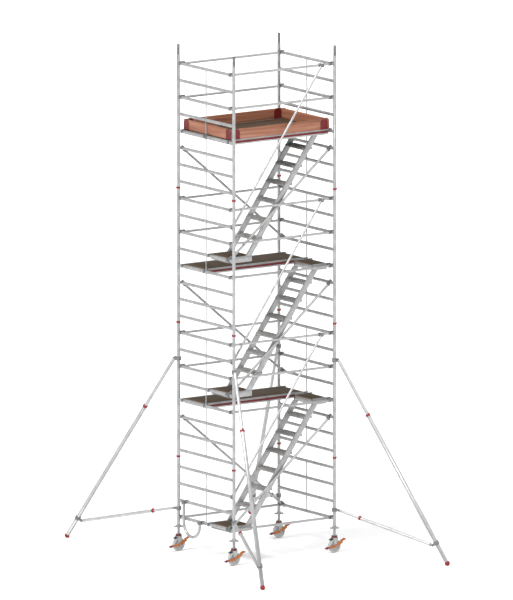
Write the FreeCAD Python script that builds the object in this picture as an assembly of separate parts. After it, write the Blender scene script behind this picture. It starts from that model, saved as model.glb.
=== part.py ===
"""Mobile tower scaffold: ladder end frames on castors, stair flights, decks and stabilisers.

Millimetres. +Z is up and the floor is Z = 0. The origin is the middle of the tower on the
floor. X runs along the stairs, from their low end to their high end, and Y across the tower.
"""
import FreeCAD, Part
import math
import os

V = FreeCAD.Vector
ORIGIN = V(0, 0, 0)
ACROSS = V(0, 1, 0)
UP = V(0, 0, 1)

# ---- tower ----
bay_length = 1800.0            # leg axis to leg axis along X
bay_width = 1420.0             # leg axis to leg axis along Y
rung_pitch = 250.0
rungs_in_base = 4              # the base frame is half as tall as the frames above
rungs_per_frame = 8
frames_above_base = 3
leg_foot_height = 390.0        # underside of the legs, with the castor jacks as set
first_rung_height = 120.0      # above the bottom of each frame
leg_diameter = 48.3
leg_wall = 3.2
rung_diameter = 45.0
rung_wall = 2.0
tie_diameter = 16.0            # upright rods that tie the rungs together at mid-width
spigot_length = 150.0          # stands out of each leg top, and as much again inside
spigot_clearance = 0.3         # free end to the bore of the frame above
spigot_seat_clearance = 0.1    # fixed half to its own leg's bore
spigot_wall = 3.0
clip_height = 28.0             # red clips that lock the spigot joints
clip_wall = 5.0
clip_lift = 9.0                # clip underside above the joint

# ---- rails, ledgers and braces ----
rail_diameter = 36.0
rail_wall = 2.0
rail_inset = 70.0              # rail axis in from the leg axis, along Y
brace_inset = 110.0            # diagonal brace axis in from the leg axis
handrail_inset = 33.0          # stair handrails run outside the guard rails
handrail_diameter = 34.0
handrail_top_inset = 210.0     # handrail's top end, back from the right-hand frame
handrail_overrun = 40.0
hook_clearance = 0.1           # claw to rung
hook_wall = 11.0
hook_lip = 22.0
hook_reach = 62.0              # rung axis to the end of the tube that the claw holds
rail_hook_width = 28.0
handrail_hook_width = 15.0

# ---- decks ----
deck_rungs = (7, 15, 23)       # rungs that carry the three levels, counted from 0 at the bottom
deck_side_inset = 105.0        # decks' outer sides, in from the leg axes
deck_middle_gap = 10.0         # between the two decks of the top level
deck_surface_rise = 34.0       # walking surface above the rung axis
beam_height = 76.0
beam_width = 35.0
beam_wall = 3.0
deck_end_inset = 40.0          # beam ends in from the rung axis
panel_thickness = 12.0
panel_recess = 2.0
cross_bars_per_deck = 4
deck_hook_width = 26.0
hatch_length = 820.0
hatch_gap = 5.0
hatch_thickness = 18.0
hatch_ledge = 14.0
hinge_pin_diameter = 8.0
hinge_knuckle_diameter = 16.0
hinge_knuckle_length = 60.0
hinge_clearance = 0.08
face_clearance = 0.3           # between flat faces of pieces that move against each other

# ---- stair flights ----
rises_per_flight = 7
stair_end_inset = 282.0        # first and last nosing, in from the frames
stair_outer_inset = 142.0      # stair's outer side, in from the front legs' axis
stair_centre_inset = 76.0      # stair's inner side, from the tower's middle
stringer_thickness = 25.0
stringer_depth = 85.0
stringer_wall = 3.0
nosing_overhang = 35.0
tread_depth = 170.0
tread_thickness = 34.0
tread_wall = 4.0
landing_beam_height = 87.0
landing_hook_width = 30.0

# ---- toe boards ----
toe_board_height = 150.0
toe_board_thickness = 25.0
toe_board_edge = 2.0           # outer face in from the deck edge
end_board_inset = 25.0         # end boards, in from the rung axis
toe_bracket_width = 130.0
toe_bracket_height = 158.0
toe_bracket_thickness = 5.0
toe_bracket_end_inset = 65.0   # middle of each bracket, in from the end of its board

# ---- access step ----
step_tube_diameter = 42.0
step_tube_wall = 3.0
step_offset = 45.0             # step plane outside the left frame
step_inner_limb = 100.0        # Y of the limb nearer the middle
step_outer_limb = 510.0
step_low_height = 270.0        # axis of the bow's lowest point
coupler_half = 24.0
coupler_wall = 8.0

# ---- castors ----
wheel_diameter = 200.0
wheel_width = 50.0
wheel_edge_radius = 9.0
hub_recess_outer = 144.0
hub_recess_inner = 62.0
hub_recess_depth = 10.0
axle_diameter = 20.0
running_clearance = 0.08
fork_plate = 6.0
fork_gap = 6.0                 # wheel side to fork plate
fork_eye_radius = 24.0
fork_top_width = 84.0
crown_gap = 12.0               # over the top of the wheel
crown_thickness = 10.0
race_height = 28.0
race_diameter = 90.0
kingpin_diameter = 20.0
kingpin_head_diameter = 34.0
kingpin_head_height = 8.5
jack_diameter = 38.0
jack_wall = 5.0
jack_flange_diameter = 70.0
jack_flange_height = 8.0
jack_inside_leg = 300.0
nut_height = 38.0
nut_diameter = 66.0
nut_wing_reach = 68.0
nut_wing_width = 13.0
nut_wing_height = 24.0
nut_wing_angles = (-25.0, 160.0)
brake_plate = 4.0
brake_gap = 0.5
brake_arm_width = 30.0
brake_pad_thickness = 10.0
brake_tread_gap = 12.0         # arm ends, out from the tread
brake_upper_rise = 62.0        # arm end above the axle
brake_lower_drop = 14.0        # arm end below the axle
brake_upper_pad = (66.0, 30.0) # run and rise from the arm end
brake_lower_pad = (52.0, 20.0) # run and drop from the arm end
brake_pad_inside = 18.0        # how far the pads reach over the tread, from its middle

# ---- stabilisers ----
foot_reach_along = 750.0       # foot from its leg's axis, along X
foot_reach_across = 1800.0
foot_radius = 38.0
foot_centre_height = 34.0
brace_top_height = 2870.0      # upper coupler on the leg
strut_height = 635.0           # lower coupler on the leg
pivot_offset = 70.0            # coupler pivots, from the leg axis
inner_diameter = 48.3
inner_wall = 3.2
outer_diameter = 60.3
outer_wall = 4.0
inner_visible = 940.0
inner_length = 1700.0
strut_inner_diameter = 38.0
strut_outer_diameter = 48.3
strut_wall = 3.0
strut_inner_visible = 400.0
strut_inner_length = 950.0
collar_length = 34.0
collar_wall = 6.0
leg_coupler_height = 54.0
leg_coupler_wall = 10.0
pivot_pin_diameter = 16.0
pivot_eye_radius = 20.0
pivot_cheek = 6.0
pivot_tongue = 14.0
open_pivot_clearance = 3.5     # strut's outer eye around its pin
foot_coupler_distance = 340.0  # lower coupler up the brace from the foot
foot_pivot_offset = 76.0       # its pivot, from the brace axis

# ---- worked out from the above ----
half_length = bay_length / 2
half_width = bay_width / 2
first_rung_z = leg_foot_height + first_rung_height
rail_y = half_width - rail_inset
brace_y = half_width - brace_inset
handrail_y = half_width - handrail_inset
beam_end = half_length - deck_end_inset
deck_inner_y = deck_middle_gap / 2
deck_outer_y = half_width - deck_side_inset
stair_outer_y = -(half_width - stair_outer_inset)
stair_inner_y = -stair_centre_inset
going = (bay_length - 2 * stair_end_inset) / rises_per_flight
stair_slope = math.atan2(rung_pitch, going)
stringer_run = stringer_depth / math.sin(stair_slope)
top_surface_z = first_rung_z + rung_pitch * deck_rungs[-1] + deck_surface_rise
axle_height = wheel_diameter / 2
crown_underside = wheel_diameter + crown_gap
fork_inner = wheel_width / 2 + fork_gap
fork_outer = fork_inner + fork_plate


def rung_z(number):
    """Height of a rung's axis, counted from 0 at the bottom."""
    return first_rung_z + rung_pitch * number


def surface_z(number):
    """Walking surface of a deck or landing that hangs on this rung."""
    return rung_z(number) + deck_surface_rise


def nosing_x(step):
    """Front edge of a stair step: 0 is level with the lower landing."""
    return -half_length + stair_end_inset + going * step


def block(x_range, y_range, z_range):
    """Box between two limits on each axis, in either order."""
    low = V(min(x_range), min(y_range), min(z_range))
    high = V(max(x_range), max(y_range), max(z_range))
    size = high - low
    return Part.makeBox(size.x, size.y, size.z, low)


def rod(start, end, diameter):
    return Part.makeCylinder(diameter / 2, (end - start).Length, start, end - start)


def tube(start, end, diameter, wall):
    return rod(start, end, diameter).cut(rod(start, end, diameter - 2 * wall))


def prism(outline, y_low, y_high):
    """Flat outline of (x, z) points, given thickness along Y."""
    points = [V(x, y_low, z) for x, z in outline]
    face = Part.Face(Part.makePolygon(points + points[:1]))
    return face.extrude(V(0, y_high - y_low, 0))


def strip(start, end, width, y_low, y_high):
    """Flat bar between two (x, z) points, given thickness along Y."""
    run = V(end[0] - start[0], 0, end[1] - start[1])
    side = V(-run.z, 0, run.x).multiply(width / 2 / run.Length)
    corners = [(start, 1), (end, 1), (end, -1), (start, -1)]
    return prism([(p[0] + s * side.x, p[1] + s * side.z) for p, s in corners], y_low, y_high)


def moved(shape, offset):
    copy = shape.copy()
    copy.translate(offset)
    return copy


def turned(shape, axis, degrees, centre=ORIGIN):
    copy = shape.copy()
    copy.rotate(centre, axis, degrees)
    return copy


def joined(*shapes):
    """One welded or cast piece."""
    return shapes[0].fuse(list(shapes[1:])).removeSplitter()


def save(node, solids):
    """Write one node; a list of several solids stays several solids."""
    Part.makeCompound(list(solids)).exportStep("parts/" + node + ".step")


def box_beam(x_range, y_range, z_range, wall, open_axis):
    """Rectangular hollow section, open at both ends along one axis."""
    ranges = [x_range, y_range, z_range]
    inside = [r if i == open_axis else (min(r) + wall, max(r) - wall) for i, r in enumerate(ranges)]
    return block(*ranges).cut(block(*inside))


# ---------------------------------------------------------------- end frames

def frame_solids(side, bottom, rungs):
    """Two legs with their top spigots, the rungs between them and the tie rods."""
    x = side * half_length
    top = bottom + rungs * rung_pitch
    leg_bore = leg_diameter - 2 * leg_wall
    solids = []
    for end in (-1, 1):
        y = end * half_width
        solids.append(tube(V(x, y, bottom), V(x, y, top), leg_diameter, leg_wall))
        joint = V(x, y, top)
        inside = rod(joint, V(x, y, top - spigot_length), leg_bore - 2 * spigot_seat_clearance)
        outside = rod(joint, V(x, y, top + spigot_length), leg_bore - 2 * spigot_clearance)
        hollow = leg_bore - 2 * spigot_clearance - 2 * spigot_wall
        core = rod(V(x, y, top - spigot_length), V(x, y, top + spigot_length), hollow)
        solids.append(inside.fuse(outside).cut(core))
    first = bottom + first_rung_height
    rung = tube(V(x, -half_width, first), V(x, half_width, first), rung_diameter, rung_wall)
    for end in (-1, 1):
        y = end * half_width
        rung = rung.cut(rod(V(x, y, first - rung_pitch), V(x, y, first + rung_pitch), leg_diameter))
    tie = rod(V(x, 0, first), V(x, 0, first + rung_pitch), tie_diameter)
    for z in (first, first + rung_pitch):
        tie = tie.cut(rod(V(x, -half_width, z), V(x, half_width, z), rung_diameter))
    solids += [moved(rung, UP * (rung_pitch * i)) for i in range(rungs)]
    solids += [moved(tie, UP * (rung_pitch * i)) for i in range(rungs - 1)]
    return solids


def joint_heights():
    base_top = leg_foot_height + rungs_in_base * rung_pitch
    return [base_top + rungs_per_frame * rung_pitch * i for i in range(frames_above_base)]


def joint_clip(side, end, joint):
    """Ring with a pull tab, snapped round a leg just above a joint."""
    x, y, z = side * half_length, end * half_width, joint + clip_lift
    outer = leg_diameter + 2 * clip_wall
    bore = leg_diameter + 2 * hook_clearance
    ring = rod(V(x, y, z), V(x, y, z + clip_height), outer)
    tab_x = x + side * (outer / 2 + 2 * clip_wall)
    tab = block((x, tab_x), (y - clip_wall, y + clip_wall), (z + clip_wall, z + clip_height))
    return joined(ring, tab).cut(rod(V(x, y, z), V(x, y, z + clip_height), bore))


# ------------------------------------------------- hooks, rails and braces

def hook(width, reach, tilt=0.0):
    """Claw over a rung on the Y axis, open below, with its socket end towards -X."""
    gap = rung_diameter / 2 + hook_clearance
    body = block((-reach, gap + hook_wall), (-width / 2, width / 2), (-hook_lip, gap + hook_wall))
    body = body.cut(rod(V(0, -width, 0), V(0, width, 0), 2 * gap))
    body = body.cut(block((-gap, gap), (-width, width), (-2 * hook_lip, 0)))
    return turned(body, ACROSS, tilt)


def placed_hook(side, y, z, width, reach, tilt=0.0):
    """Hook on the left (-1) or right (+1) frame's rung; tilt lifts the right-hand end."""
    piece = hook(width, reach)
    if side < 0:
        piece = turned(piece, UP, 180)
    return moved(turned(piece, ACROSS, -tilt), V(side * half_length, y, z))


def bar_between(y, left_z, right_z, diameter):
    """Tube from frame to frame with a claw at each end: returns tube, claws."""
    left, right = V(-half_length, y, left_z), V(half_length, y, right_z)
    run = (right - left).normalize()
    tilt = math.degrees(math.atan2(right_z - left_z, bay_length))
    bar = tube(left + run * hook_reach, right - run * hook_reach, diameter, rail_wall)
    ends = ((-1, left_z), (1, right_z))
    return bar, [placed_hook(s, y, z, rail_hook_width, hook_reach, tilt) for s, z in ends]


def rails():
    """Two guard rails above each level, front and back."""
    levels = [deck + above for deck in deck_rungs for above in (2, 4)]
    return [bar_between(e * rail_y, rung_z(n), rung_z(n), rail_diameter) for e in (-1, 1) for n in levels]


def ledgers():
    """Level ties: front and back at the foot, and in front of the two lower levels."""
    places = [(-1, 0), (1, 0)] + [(-1, n) for n in deck_rungs[:-1]]
    return [bar_between(e * rail_y, rung_z(n), rung_z(n), rail_diameter) for e, n in places]


def diagonals():
    """Front braces rise to the right, back braces to the left, six rungs each."""
    bars = []
    for deck in deck_rungs:
        low, high = rung_z(deck - 7), rung_z(deck - 1)
        bars.append(bar_between(-brace_y, low, high, rail_diameter))
        bars.append(bar_between(brace_y, high, low, rail_diameter))
    return bars


def handrail(low_rung, rail_rung):
    """Sloping stair handrail from a claw on the left frame to a clamp on a guard rail."""
    low = V(-half_length, -handrail_y, rung_z(low_rung))
    high = V(half_length - handrail_top_inset, -handrail_y, rung_z(rail_rung))
    run = (high - low).normalize()
    bar = tube(low + run * hook_reach, high + run * handrail_overrun, handrail_diameter, rail_wall)
    tilt = math.degrees(math.atan2(run.z, run.x))
    claw = placed_hook(-1, low.y, low.z, handrail_hook_width, hook_reach, tilt)
    reach = handrail_diameter / 2 + coupler_wall
    clamp = block((high.x - reach, high.x + reach), (low.y - reach, -rail_y + reach),
                  (high.z - reach, high.z + reach))
    clamp = clamp.cut(rod(low, high + run * bay_length, handrail_diameter))
    clamp = clamp.cut(rod(V(-half_length, -rail_y, high.z), V(half_length, -rail_y, high.z), rail_diameter))
    return bar, claw, max(clamp.Solids, key=lambda solid: solid.Volume)


# ---------------------------------------------------------------- decks

def deck_beams(near_y, far_y, number, hatch=False):
    """Side beams, end beams and cross bars of one deck."""
    top, bottom = surface_z(number), surface_z(number) - beam_height
    inner, outer = sorted((near_y, far_y))
    solids = []
    for y_range in ((inner, inner + beam_width), (outer - beam_width, outer)):
        solids.append(box_beam((-beam_end, beam_end), y_range, (bottom, top), beam_wall, 0))
    between = (inner + beam_width, outer - beam_width)
    under_panel = top - panel_recess - panel_thickness
    left_panel_end = hatch_start() if hatch else beam_end
    spacing = (left_panel_end + beam_end - beam_width) / (cross_bars_per_deck - 1)
    for i in range(cross_bars_per_deck):
        x = -beam_end + spacing * i
        solids.append(box_beam((x, x + beam_width), between, (bottom, under_panel), beam_wall, 1))
    return solids


def deck_panel(near_y, far_y, number, x_end):
    """Plywood sheet between the side beams."""
    inner, outer = sorted((near_y, far_y))
    top = surface_z(number) - panel_recess
    y_range = (inner + beam_width, outer - beam_width)
    return block((-beam_end, x_end), y_range, (top - panel_thickness, top))


def deck_hooks(near_y, far_y, number):
    middles = (near_y + far_y) / 2
    offset = (deck_outer_y - deck_inner_y - beam_width) / 2
    ends = [(s, middles + e * offset) for s in (-1, 1) for e in (-1, 1)]
    return [placed_hook(s, y, rung_z(number), deck_hook_width, deck_end_inset) for s, y in ends]


def hatch_start():
    """Left end of the hatch, which reaches to the stair's top landing."""
    return nosing_x(rises_per_flight) - hatch_gap - hatch_length


def hatch_hinge():
    """Y and Z of the hatch's hinge axis, on the inner side beam of the front deck."""
    y = -deck_inner_y - beam_width - hinge_knuckle_diameter / 2
    return y, top_surface_z + hinge_knuckle_diameter / 2 + face_clearance


def knuckle_places():
    """X limits of the hinge knuckles: fixed, lid, fixed at each end of the hatch."""
    start, end = hatch_start(), hatch_start() + hatch_length
    length = hinge_knuckle_length
    places = []
    for first in (start + length, end - 4 * length):
        places.append([(first + i * length, first + (i + 1) * length) for i in range(3)])
    return places


def hatch_fixings():
    """Fixed knuckles, hinge pins and the ledges that the lid lies on."""
    y, z = hatch_hinge()
    beam_face = -deck_inner_y - beam_width
    solids = []
    for group in knuckle_places():
        solids.append(rod(V(group[0][0], y, z), V(group[2][1], y, z), hinge_pin_diameter))
        for x0, x1 in (group[0], group[2]):
            barrel = rod(V(x0, y, z), V(x1, y, z), hinge_knuckle_diameter)
            leaf = block((x0, x1), (y, beam_face + beam_width / 2), (top_surface_z, z))
            bore = rod(V(x0, y, z), V(x1, y, z), hinge_pin_diameter)
            solids.append(joined(barrel, leaf).cut(bore))
    top = top_surface_z - hatch_thickness - face_clearance
    for y_range in ((beam_face - hatch_ledge, beam_face),
                    (-deck_outer_y + beam_width, -deck_outer_y + beam_width + hatch_ledge)):
        solids.append(block((hatch_start(), hatch_start() + hatch_length), y_range, (top - panel_thickness, top)))
    return solids


def hatch_lid():
    """Lid over the stair opening, with its two moving knuckles."""
    y, z = hatch_hinge()
    y_range = (-deck_outer_y + beam_width + hatch_gap, -deck_inner_y - beam_width - hatch_gap)
    x_range = (hatch_start(), hatch_start() + hatch_length)
    lid = block(x_range, y_range, (top_surface_z - hatch_thickness, top_surface_z))
    for group in knuckle_places():
        x0, x1 = group[1][0] + face_clearance, group[1][1] - face_clearance
        barrel = rod(V(x0, y, z), V(x1, y, z), hinge_knuckle_diameter)
        leaf = block((x0, x1), (y - beam_width, y), (top_surface_z, z))
        lid = joined(lid, barrel, leaf)
        lid = lid.cut(rod(V(x0, y, z), V(x1, y, z), hinge_pin_diameter + 2 * hinge_clearance))
    for group in knuckle_places():
        for x0, x1 in (group[0], group[2]):
            relief = rod(V(x0, y, z), V(x1, y, z), hinge_knuckle_diameter + 2 * hatch_gap)
            lid = lid.cut(relief)
    return lid


# ---------------------------------------------------------------- stairs

def stringer_front(z, base):
    """X of the stringers' front edge at a height; base is the lower landing's surface."""
    return nosing_x(0) + nosing_overhang + (z - base) / math.tan(stair_slope)


def stringer_outline(base, low_z, high_z, wall):
    """Sloping parallelogram between two heights, in from the stringer's edges by the wall."""
    inset = wall / math.sin(stair_slope)
    low_x, high_x = stringer_front(low_z, base) + inset, stringer_front(high_z, base) + inset
    width = stringer_run - 2 * inset
    return [(low_x, low_z), (low_x + width, low_z), (high_x + width, high_z), (high_x, high_z)]


def stair_sides():
    """Y limits of the outer and the inner stringer, and of the landing beams in line with them."""
    return ((stair_outer_y, stair_outer_y + stringer_thickness),
            (stair_inner_y - stringer_thickness, stair_inner_y))


def stringers(low_number):
    base = surface_z(low_number)
    top = surface_z(low_number + rises_per_flight) - landing_beam_height
    outline = stringer_outline(base, base, top, 0)
    hollow = stringer_outline(base, base - stringer_depth, top + stringer_depth, stringer_wall)
    solids = []
    for low_y, high_y in stair_sides():
        inside = prism(hollow, low_y + stringer_wall, high_y - stringer_wall)
        solids.append(prism(outline, low_y, high_y).cut(inside))
    return solids


def treads(low_number):
    base = surface_z(low_number)
    y_range = (stair_outer_y + stringer_thickness, stair_inner_y - stringer_thickness)
    solids = []
    for step in range(1, rises_per_flight):
        x, z = nosing_x(step), base + rung_pitch * step
        solids.append(box_beam((x, x + tread_depth), y_range, (z - tread_thickness, z), tread_wall, 1))
    return solids


def landing_span(upper):
    """X limits of a landing: from its frame to the foot or the head of the stringers."""
    if upper:
        return nosing_x(rises_per_flight), beam_end
    return -beam_end, nosing_x(0) + nosing_overhang + stringer_run


def landing_frame(number, upper):
    """Side and end beams of the landing that hangs on one rung."""
    x0, x1 = landing_span(upper)
    z_range = (surface_z(number) - landing_beam_height, surface_z(number))
    solids = [box_beam((x0, x1), side, z_range, stringer_wall, 0) for side in stair_sides()]
    between = (stair_outer_y + stringer_thickness, stair_inner_y - stringer_thickness)
    under_panel = surface_z(number) - panel_recess - panel_thickness
    for x in (x0, x1 - stringer_thickness):
        solids.append(box_beam((x, x + stringer_thickness), between, (z_range[0], under_panel), stringer_wall, 1))
    return solids


def landing_panel(number, upper):
    between = (stair_outer_y + stringer_thickness, stair_inner_y - stringer_thickness)
    top = surface_z(number) - panel_recess
    return block(landing_span(upper), between, (top - panel_thickness, top))


def landing_hooks(number, side):
    middles = [(low + high) / 2 for low, high in stair_sides()]
    return [placed_hook(side, y, rung_z(number), landing_hook_width, deck_end_inset) for y in middles]


# ---------------------------------------------------------------- toe boards

def toe_boards():
    z_range = (top_surface_z, top_surface_z + toe_board_height)
    outer = deck_outer_y - toe_board_edge
    end_outer = half_length - end_board_inset
    end_inner = end_outer - toe_board_thickness
    solids = []
    for side in (-1, 1):
        solids.append(block((-end_inner, end_inner),
                            (side * outer, side * (outer - toe_board_thickness)), z_range))
        solids.append(block((side * end_inner, side * end_outer), (-outer, outer), z_range))
    return solids


def toe_bracket():
    """Arched plate in the XZ plane, its foot at Z = 0 and its back on Y = 0."""
    radius = toe_bracket_width / 2
    shoulder = toe_bracket_height - radius
    plate = block((-radius, radius), (-toe_bracket_thickness, 0), (0, shoulder))
    top = V(0, -toe_bracket_thickness, shoulder)
    return joined(plate, rod(top, V(0, 0, shoulder), toe_bracket_width))


def toe_brackets():
    outer = deck_outer_y - toe_board_edge
    end_outer = half_length - end_board_inset
    long_place = end_outer - toe_board_thickness - toe_bracket_end_inset
    short_place = outer - toe_bracket_end_inset
    back_face = outer - toe_board_thickness
    solids = []
    for end in (-1, 1):
        solids.append(moved(toe_bracket(), V(end * long_place, -outer, top_surface_z)))
        solids.append(moved(toe_bracket(), V(end * long_place, back_face, top_surface_z)))
        for side in (-1, 1):
            plate = turned(toe_bracket(), UP, side * 90)
            solids.append(moved(plate, V(side * end_outer, end * short_place, top_surface_z)))
    return solids


# ---------------------------------------------------------------- access step

def step_bow():
    """U-shaped tube outside the left frame."""
    x = -half_length - step_offset
    radius = (step_outer_limb - step_inner_limb) / 2
    middle, spring = step_inner_limb + radius, step_low_height + radius
    foot = V(x, step_outer_limb, spring)
    rings = [Part.Wire(Part.makeCircle(d / 2, foot, UP))
             for d in (step_tube_diameter, step_tube_diameter - 2 * step_tube_wall)]
    bend = Part.Face(rings).revolve(V(x, middle, spring), V(-1, 0, 0), 180)
    limbs = []
    for y, number in ((step_outer_limb, 1), (step_inner_limb, 0)):
        top = rung_z(number) + coupler_half + coupler_wall
        limbs.append(tube(V(x, y, spring), V(x, y, top), step_tube_diameter, step_tube_wall))
    return joined(bend, *limbs)


def step_couplers():
    """Blocks that clamp the bow's limbs to the two lowest rungs of the left frame."""
    x = -half_length - step_offset
    x_range = (x - step_tube_diameter / 2 - coupler_wall, -half_length + rung_diameter / 2 + coupler_wall)
    solids = []
    for y, number in ((step_outer_limb, 1), (step_inner_limb, 0)):
        z = rung_z(number)
        body = block(x_range, (y - coupler_half, y + coupler_half), (z - coupler_half, z + coupler_half))
        body = body.cut(rod(V(x, y, z - rung_pitch), V(x, y, z + rung_pitch), step_tube_diameter))
        rung = rod(V(-half_length, y - bay_width, z), V(-half_length, y + bay_width, z), rung_diameter)
        solids += body.cut(rung).Solids
    return solids


# ------------------------------------- castors, about an upright axis at X = Y = 0

def castor_wheel():
    half = wheel_width / 2
    hub = V(0, -half, axle_height)
    body = Part.makeCylinder(wheel_diameter / 2, wheel_width, hub, ACROSS)
    rims = [edge for edge in body.Edges if isinstance(edge.Curve, Part.Circle)]
    body = body.makeFillet(wheel_edge_radius, rims)
    for side in (-1, 1):
        face = V(0, side * half, axle_height)
        floor = V(0, side * (half - hub_recess_depth), axle_height)
        body = body.cut(rod(floor, face, hub_recess_outer).cut(rod(floor, face, hub_recess_inner)))
    ends = (V(0, -half, axle_height), V(0, half, axle_height))
    return body.cut(rod(*ends, axle_diameter + 2 * running_clearance))


def axle_ends(reach):
    return V(0, -reach, axle_height), V(0, reach, axle_height)


def castor_fork():
    """Pressed fork, swivel race, axle bolt and the swivel lock's lever."""
    top = crown_underside + crown_thickness
    outline = [(-fork_top_width / 2, top), (fork_top_width / 2, top),
               (fork_eye_radius, axle_height), (-fork_eye_radius, axle_height)]
    plates = []
    for y in (-fork_outer, fork_inner):
        eye = rod(V(0, y, axle_height), V(0, y + fork_plate, axle_height), 2 * fork_eye_radius)
        plates += [prism(outline, y, y + fork_plate), eye]
    crown = block((-fork_top_width / 2, fork_top_width / 2), (-fork_outer, fork_outer), (crown_underside, top))
    pressing = joined(crown, *plates)
    race = rod(V(0, 0, top), V(0, 0, top + race_height), race_diameter)
    bore = rod(V(0, 0, crown_underside), V(0, 0, top + race_height), kingpin_diameter + 2 * running_clearance)
    axle = rod(*axle_ends(fork_outer + 2 * brake_plate), axle_diameter)
    lever = strip((-fork_top_width / 2, top - crown_thickness), (-race_diameter, top - 3 * crown_thickness),
                  crown_thickness, -race_diameter / 4, race_diameter / 4)
    return [pressing.cut(bore).cut(axle), race.cut(bore), axle, lever.cut(pressing)]


def castor_jack():
    """Hollow jack spindle with the flange and kingpin that the fork turns on."""
    race_top = crown_underside + crown_thickness + race_height
    flange_bottom = race_top + face_clearance
    jack_bottom = flange_bottom + jack_flange_height
    flange = rod(V(0, 0, flange_bottom), V(0, 0, jack_bottom), jack_flange_diameter)
    stem = tube(V(0, 0, jack_bottom), V(0, 0, leg_foot_height + jack_inside_leg), jack_diameter, jack_wall)
    head_top = crown_underside - face_clearance
    pin = rod(V(0, 0, head_top), V(0, 0, jack_bottom), kingpin_diameter)
    head = rod(V(0, 0, head_top - kingpin_head_height), V(0, 0, head_top), kingpin_head_diameter)
    return joined(flange, stem, pin, head)


def castor_nut():
    """Winged nut under the leg."""
    top = leg_foot_height - face_clearance
    body = rod(V(0, 0, top - nut_height), V(0, 0, top), nut_diameter)
    half = nut_wing_width / 2
    wing = block((0, nut_wing_reach), (-half, half), (top - nut_height, top - nut_height + nut_wing_height))
    body = joined(body, *[turned(wing, UP, angle) for angle in nut_wing_angles])
    bore = rod(V(0, 0, 0), V(0, 0, leg_foot_height), jack_diameter + 2 * running_clearance)
    return body.cut(bore)


def castor_brake():
    """Rocker on the axle, outside the fork, with a pad over the tread at each end."""
    y = -fork_outer - brake_gap
    side = (y - brake_plate, y)
    hub = (0, axle_height)
    eye = rod(V(0, side[0], axle_height), V(0, side[1], axle_height), 2 * fork_eye_radius)
    reach = axle_height + brake_tread_gap
    upper, lower = (reach, axle_height + brake_upper_rise), (-reach, axle_height - brake_lower_drop)
    upper_tip = (upper[0] + brake_upper_pad[0], upper[1] + brake_upper_pad[1])
    lower_tip = (lower[0] - brake_lower_pad[0], lower[1] - brake_lower_pad[1])
    arms = [strip(hub, end, brake_arm_width, *side) for end in (upper, lower)]
    across = (side[0], brake_pad_inside)
    pads = [strip(a, b, brake_pad_thickness, *across) for a, b in ((upper, upper_tip), (lower, lower_tip))]
    body = joined(eye, *arms, *pads)
    return body.cut(rod(*axle_ends(bay_width), axle_diameter + 2 * running_clearance))


# ------------------- stabilisers, about the leg axis, in the XZ plane towards the foot

def along(start, run, distance):
    return start + run * distance


brace_start = V(pivot_offset, 0, brace_top_height)
foot_point = V(math.hypot(foot_reach_along, foot_reach_across), 0, foot_centre_height)
brace_length = (foot_point - brace_start).Length
brace_run = (foot_point - brace_start) * (1 / brace_length)
brace_side = V(brace_run.z, 0, -brace_run.x)
foot_coupler = along(foot_point, brace_run, -foot_coupler_distance)
strut_start = V(pivot_offset, 0, strut_height)
strut_end = along(foot_coupler, brace_side, foot_pivot_offset)
strut_length = (strut_end - strut_start).Length
strut_run = (strut_end - strut_start) * (1 / strut_length)
tongue_reach = 2 * pivot_eye_radius
cheek_inner = pivot_tongue / 2 + hook_clearance


def flat(point):
    return point.x, point.z


def cheeks(start, end):
    """Two plates either side of a pivot, with the pin through them."""
    width = 2 * pivot_eye_radius - pivot_cheek
    plates = []
    for side in (-1, 1):
        y_range = sorted((side * cheek_inner, side * (cheek_inner + pivot_cheek)))
        eye = rod(V(end.x, y_range[0], end.z), V(end.x, y_range[1], end.z), width)
        plates += [strip(flat(start), flat(end), width, *y_range), eye]
    reach = cheek_inner + 2 * pivot_cheek
    pin = rod(V(end.x, -reach, end.z), V(end.x, reach, end.z), pivot_pin_diameter)
    return plates + [pin]


def tongue(pivot, run, clearance):
    """Flat end of a strut with the eye for its pivot pin."""
    half = pivot_tongue / 2
    eye = rod(V(pivot.x, -half, pivot.z), V(pivot.x, half, pivot.z), 2 * pivot_eye_radius)
    neck = strip(flat(pivot), flat(along(pivot, run, tongue_reach)), 2 * pivot_eye_radius, -half, half)
    hole = rod(V(pivot.x, -half, pivot.z), V(pivot.x, half, pivot.z), pivot_pin_diameter + 2 * clearance)
    return joined(eye, neck).cut(hole)


def collar(end, run, inner, outer):
    """Red clip that guides the inner tube, at the mouth of the outer one."""
    start = along(end, run, -collar_length)
    return rod(start, end, outer + 2 * collar_wall).cut(rod(start, end, inner + 2 * running_clearance))


def leg_ring(height):
    half = leg_coupler_height / 2
    return rod(V(0, 0, height - half), V(0, 0, height + half), leg_diameter + 2 * leg_coupler_wall)


def leg_bore(height):
    low, high = V(0, 0, height - leg_coupler_height), V(0, 0, height + leg_coupler_height)
    return rod(low, high, leg_diameter + 2 * hook_clearance)


def stabiliser_mount():
    """Leg couplers and the inner brace tube, which swing round the leg together."""
    half = leg_coupler_height / 2 - hook_clearance
    arm = block((0, pivot_offset), (-half / 2, half / 2), (brace_top_height - half, brace_top_height + half))
    inner = tube(brace_start, along(brace_start, brace_run, inner_length), inner_diameter, inner_wall)
    socket = rod(brace_start, along(brace_start, brace_run, inner_length), inner_diameter)
    upper = joined(leg_ring(brace_top_height), arm).cut(leg_bore(brace_top_height)).cut(socket)
    lower = joined(leg_ring(strut_height), *cheeks(V(0, 0, strut_height), strut_start))
    return [upper, inner, lower.cut(leg_bore(strut_height))]


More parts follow.
